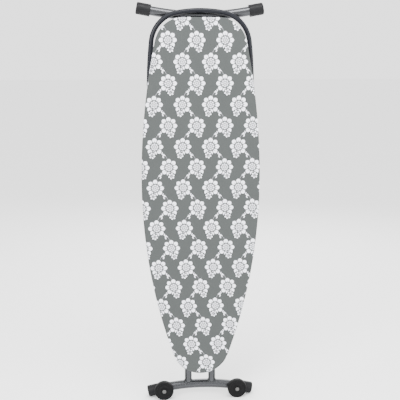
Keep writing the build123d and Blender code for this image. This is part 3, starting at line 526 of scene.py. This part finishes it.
tree.links.new(blend_colours(tree, drift_tone, (0.0085, 0.0095, 0.0125), (0.0150, 0.0160, 0.0200)), shader.inputs["Base Color"])
tree.links.new(calc(tree, "MULTIPLY_ADD", orange_peel, 0.12, 0.20), shader.inputs["Roughness"])
add_bump(tree, shader, orange_peel, 0.12, 0.0003)
diamonds = new_piece("diamond_mesh", bm, paint, radians(30))
wall = diamonds.modifiers.new("thickness", "SOLIDIFY")
wall.thickness = strand_wall
wall.offset = 0
diamonds.data.transform(Matrix.Translation((0, strand_wall / 2, 0)))
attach(diamonds, "board")
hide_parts("mesh_top")


# ==== Rim and cross braces ======================================================================
# Rolled steel rim with a flange turned in behind, and pressed channels welded across the mesh.
# They are powder coated together in charcoal before the board is dressed.
def dress(names, material):
    """Gives frame parts their finish."""
    for name in names:
        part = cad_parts[name]
        part.data.materials.clear()
        part.data.materials.append(material)


dress(["top_rim", "cross_braces"], paint)


# ==== Tail hoop =================================================================================
# Bent steel tube that shields the tail and hangs the board; gloss charcoal enamel.
# Flat straps screwed to the braces hold it, and plastic plugs close its ends.
enamel, tree, shader = start_material("charcoal_enamel", (0.012, 0.013, 0.017), 0.2)
shader.inputs["Specular IOR Level"].default_value = 0.16
place = tree.nodes.new("ShaderNodeTexCoord").outputs["Object"]
dust = noise_texture(tree, place, 260, 3)
depth_tone = noise_texture(tree, place, 11, 2)
tree.links.new(blend_colours(tree, depth_tone, (0.0050, 0.0056, 0.0080), (0.0090, 0.0098, 0.0130)), shader.inputs["Base Color"])
tree.links.new(calc(tree, "MULTIPLY_ADD", dust, 0.14, 0.26), shader.inputs["Roughness"])
add_bump(tree, shader, dust, 0.06, 0.0003)
dress(["tail_hoop", "hoop_brackets"], enamel)


# ==== Legs and feet =============================================================================
# Welded steel tubes: two legs and an arched foot on the wheel side, one of each on the tail side.
# They are sprayed silver grey, with a fine metallic flake and a slight orange peel.
silver, tree, shader = start_material("silver_paint", (0.060, 0.061, 0.064), 0.30, 0.9)
place = tree.nodes.new("ShaderNodeTexCoord").outputs["Object"]
flake = noise_texture(tree, place, 1900, 1)
peel = noise_texture(tree, place, 300, 2)
cloud = noise_texture(tree, place, 9, 3)
silver_tone = calc(tree, "MULTIPLY_ADD", flake, 0.45, calc(tree, "MULTIPLY", cloud, 0.55))
tree.links.new(blend_colours(tree, silver_tone, (0.034, 0.035, 0.038), (0.080, 0.082, 0.086)), shader.inputs["Base Color"])
tree.links.new(calc(tree, "MULTIPLY_ADD", peel, 0.12, 0.20), shader.inputs["Roughness"])
add_bump(tree, shader, peel, 0.10, 0.0003)
dress(
    [
        "wheel_leg_tube_left",
        "wheel_leg_tube_right",
        "wheel_leg_plate_left",
        "wheel_leg_plate_right",
        "wheel_leg_tie",
        "wheel_foot_tube",
        "tail_leg_tube",
        "tail_leg_gussets",
        "tail_foot_tube",
    ],
    silver,
)

BEAD = 0.0026
BEAD_RIPPLES = 30
WHEEL_FOOT_BEND = 0.800


def weld_bead(bm, leg, foot, foot_side, bend):
    """A rippled bead round the end of a leg tube, following the foot tube it stands on."""
    leg_low, leg_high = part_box(leg)
    foot_low, foot_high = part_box(foot)
    leg_middle = Vector(((leg_low.x + leg_high.x) / 2, (leg_low.y + leg_high.y) / 2, 0))
    leg_radius = (leg_high.x - leg_low.x) / 2
    foot_radius = (foot_high.y - foot_low.y) / 2
    crown = foot_high.z if foot_side > 0 else foot_low.z
    axis_z = crown - foot_side * (foot_radius + leg_middle.x**2 / (2 * bend))
    start = bmesh.ops.create_circle(
        bm, segments=8, radius=BEAD, matrix=Matrix.Translation((leg_radius, 0, 0)) @ Matrix.Rotation(pi / 2, 4, "X")
    )["verts"]
    loop = start + list({e for v in start for e in v.link_edges})
    spun = bmesh.ops.spin(bm, geom=loop, cent=(0, 0, 0), axis=(0, 0, 1), dvec=(0, 0, 0), angle=2 * pi, steps=96, use_merge=True)
    ring = set(start)
    waiting = list(start)
    while waiting:
        for link in waiting.pop().link_edges:
            for vert in link.verts:
                if vert not in ring:
                    ring.add(vert)
                    waiting.append(vert)
    for vert in ring:
        turn = atan2(vert.co.y, vert.co.x)
        saddle = sqrt(max(0, foot_radius**2 - (leg_radius * sin(turn)) ** 2))
        ripple = 1 + 0.16 * sin(BEAD_RIPPLES * turn) + 0.12 * noise.noise(Vector((3 * cos(turn), 3 * sin(turn), leg_middle.x * 50)))
        centre = Vector((leg_radius * cos(turn), leg_radius * sin(turn), 0))
        vert.co = centre + (vert.co - centre) * ripple
        vert.co += leg_middle + Vector((0, 0, axis_z + foot_side * saddle))


bm = bmesh.new()
weld_bead(bm, "wheel_leg_tube_left", "wheel_foot_tube", 1, WHEEL_FOOT_BEND)
weld_bead(bm, "wheel_leg_tube_right", "wheel_foot_tube", 1, WHEEL_FOOT_BEND)
bmesh.ops.recalc_face_normals(bm, faces=bm.faces)
wheel_leg_welds = new_piece("wheel_leg_welds", bm, silver, radians(80))
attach(wheel_leg_welds, "wheel_leg")
bm = bmesh.new()
weld_bead(bm, "tail_leg_tube", "tail_foot_tube", -1, WHEEL_FOOT_BEND)
bmesh.ops.recalc_face_normals(bm, faces=bm.faces)
tail_leg_weld = new_piece("tail_leg_weld", bm, silver, radians(80))
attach(tail_leg_weld, "tail_leg")


# ==== Foot caps, plugs and grip =================================================================
# Black polypropylene mouldings pushed on to the tube ends, with a fine spark texture.
# The lever's grip and the spacers at the crossing are moulded in the same plastic.
moulding, tree, shader = start_material("black_plastic", (0.010, 0.010, 0.011), 0.5)
shader.inputs["Specular IOR Level"].default_value = 0.12
place = tree.nodes.new("ShaderNodeTexCoord").outputs["Object"]
spark = noise_texture(tree, place, 1300, 2)
scuff = noise_texture(tree, place, 45, 4)
tree.links.new(blend_colours(tree, scuff, (0.0045, 0.0045, 0.0052), (0.0095, 0.0095, 0.0105)), shader.inputs["Base Color"])
tree.links.new(calc(tree, "MULTIPLY_ADD", scuff, 0.22, 0.34), shader.inputs["Roughness"])
add_bump(tree, shader, spark, 0.25, 0.0002)
dress(
    [
        "wheel_foot_cap_left",
        "wheel_foot_cap_right",
        "tail_foot_cap_left",
        "tail_foot_cap_right",
        "hoop_plugs",
        "lever_grip",
        "crossing_spacers",
        "wheel_saddle_left",
        "wheel_saddle_right",
    ],
    moulding,
)


# ==== Wheels ====================================================================================
# Solid moulded wheels with a rounded tread, turning on steel axles through the foot.
# Their treads are dulled by the floor; pale caps snap over the axle ends.
tyre, tree, shader = start_material("wheel_plastic", (0.008, 0.008, 0.009), 0.6)
shader.inputs["Specular IOR Level"].default_value = 0.08
place = tree.nodes.new("ShaderNodeTexCoord").outputs["Object"]
grain = noise_texture(tree, place, 1100, 2)
grime = noise_texture(tree, place, 70, 4)
tree.links.new(blend_colours(tree, grime, (0.0030, 0.0030, 0.0033), (0.0075, 0.0075, 0.0078)), shader.inputs["Base Color"])
tree.links.new(calc(tree, "MULTIPLY_ADD", grime, 0.25, 0.45), shader.inputs["Roughness"])
add_bump(tree, shader, grain, 0.3, 0.0002)
dress(["wheel_left", "wheel_right"], tyre)

hub_plastic, tree, shader = start_material("grey_plastic", (0.048, 0.048, 0.046), 0.4)
place = tree.nodes.new("ShaderNodeTexCoord").outputs["Object"]
hub_grain = noise_texture(tree, place, 1500, 2)
hub_tone = noise_texture(tree, place, 120, 3)
tree.links.new(blend_colours(tree, hub_tone, (0.045, 0.045, 0.043), (0.062, 0.062, 0.060)), shader.inputs["Base Color"])
add_bump(tree, shader, hub_grain, 0.15, 0.0002)
dress(["hub_cap_left", "hub_cap_right"], hub_plastic)


# ==== Bolts, pins, rails and carriage ===========================================================
# Zinc plated steel: pressed rails and brackets, turned pins, the crossbar, lever and spring.
# The plating is bright with a faint yellow and blue cloud and fine drawing lines.
plating, tree, shader = start_material("zinc_plate", (0.30, 0.30, 0.29), 0.35, 1.0)
place = tree.nodes.new("ShaderNodeTexCoord").outputs["Object"]
bloom = noise_texture(tree, place, 38, 3)
drawn_map = tree.nodes.new("ShaderNodeMapping")
drawn_map.inputs["Scale"].default_value = (900, 900, 40)
tree.links.new(place, drawn_map.inputs["Vector"])
drawn = noise_texture(tree, drawn_map.outputs["Vector"], 1, 2)
tree.links.new(blend_colours(tree, bloom, (0.24, 0.25, 0.27), (0.42, 0.40, 0.35)), shader.inputs["Base Color"])
tree.links.new(calc(tree, "MULTIPLY_ADD", drawn, 0.22, 0.24), shader.inputs["Roughness"])
add_bump(tree, shader, drawn, 0.12, 0.0002)
dress(
    [
        "pivot_bracket_left",
        "pivot_bracket_right",
        "leg_pivot_pin_left",
        "leg_pivot_pin_right",
        "bracket_rivets",
        "height_rail_left",
        "height_rail_right",
        "hoop_screws",
        "wheel_axle_left",
        "wheel_axle_right",
        "crossing_bolt",
        "crossing_nut",
        "crossbar",
        "crossbar_clips",
        "lever_carriage",
        "lever_spring",
        "release_lever",
    ],
    plating,
)


# ==== Buffers, rollers and bush =================================================================
# Rubber buffers that the folded legs rest on, and natural nylon rollers and bush.
# The nylon is slightly translucent and yellowed; the rubber has a dry bloom.
rubber, tree, shader = start_material("black_rubber", (0.009, 0.009, 0.009), 0.85)
shader.inputs["Specular IOR Level"].default_value = 0.25
place = tree.nodes.new("ShaderNodeTexCoord").outputs["Object"]
bloom = noise_texture(tree, place, 150, 4)
tree.links.new(blend_colours(tree, bloom, (0.007, 0.007, 0.007), (0.018, 0.018, 0.019)), shader.inputs["Base Color"])
add_bump(tree, shader, bloom, 0.2, 0.0003)
dress(["leg_buffers"], rubber)

nylon, tree, shader = start_material("nylon", (0.34, 0.33, 0.29), 0.42)
shader.inputs["Subsurface Weight"].default_value = 0.15
shader.inputs["Subsurface Scale"].default_value = 0.002
place = tree.nodes.new("ShaderNodeTexCoord").outputs["Object"]
milky = noise_texture(tree, place, 90, 3)
tree.links.new(blend_colours(tree, milky, (0.30, 0.29, 0.25), (0.38, 0.37, 0.34)), shader.inputs["Base Color"])
add_bump(tree, shader, milky, 0.1, 0.0002)
dress(["rail_roller_left", "rail_roller_right", "crossing_bush"], nylon)
